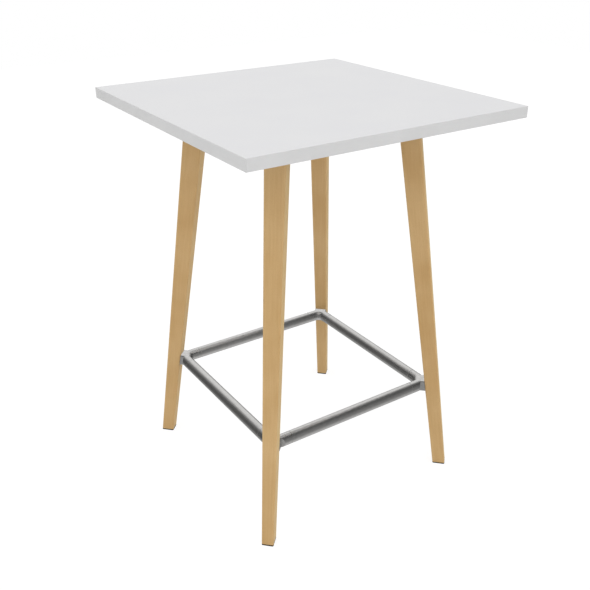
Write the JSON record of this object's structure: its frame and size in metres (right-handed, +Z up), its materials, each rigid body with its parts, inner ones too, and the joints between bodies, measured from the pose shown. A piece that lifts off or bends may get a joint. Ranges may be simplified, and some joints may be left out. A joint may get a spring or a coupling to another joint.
{
  "type": "pub table",
  "caption": "Bar-height square table: white laminated top on splayed, tapered wooden legs tied low down by a square ring of polished tube as a foot rail.",
  "frame": {"origin": "on the floor, under the middle of the square top", "axes": "+Z up; X and Y run along the sides of the top, so the legs stand on the diagonals"},
  "size_m": [0.8, 0.8, 1.1],
  "materials": {
    "white_laminate": "white decorative laminate, very fine matt texture",
    "white_edging": "white edging strip, satin",
    "chipboard": "bare particle board",
    "beech": "clear satin lacquer over fine straight grain",
    "black_steel": "black powder coat",
    "chromed_tube": "mirror polished",
    "chromed_casting": "polished casting",
    "zinc_plated_steel": "bright zinc plating",
    "black_plastic": "matt black"
  },
  "bodies": {
    "root": {"edging_back": "white_edging", "edging_front": "white_edging", "edging_left": "white_edging", "edging_right": "white_edging", "foot_pad_back_left": "black_plastic", "foot_pad_back_right": "black_plastic", "foot_pad_front_left": "black_plastic", "foot_pad_front_right": "black_plastic", "foot_rail_back": "chromed_tube", "foot_rail_front": "chromed_tube", "foot_rail_left": "chromed_tube", "foot_rail_right": "chromed_tube", "leg_back_left": "beech", "leg_back_right": "beech", "leg_bolts": "zinc_plated_steel", "leg_front_left": "beech", "leg_front_right": "beech", "leg_inserts": "zinc_plated_steel", "leg_plate_back_left": "black_steel", "leg_plate_back_right": "black_steel", "leg_plate_front_left": "black_steel", "leg_plate_front_right": "black_steel", "pad_screws": "zinc_plated_steel", "plate_screws": "zinc_plated_steel", "rail_elbow_back_left": "chromed_casting", "rail_elbow_back_right": "chromed_casting", "rail_elbow_front_left": "chromed_casting", "rail_elbow_front_right": "chromed_casting", "rail_inserts": "zinc_plated_steel", "rail_studs": "zinc_plated_steel", "top_backer": "white_laminate", "top_board": "chipboard", "top_laminate": "white_laminate"}
  },
  "joints": []
}
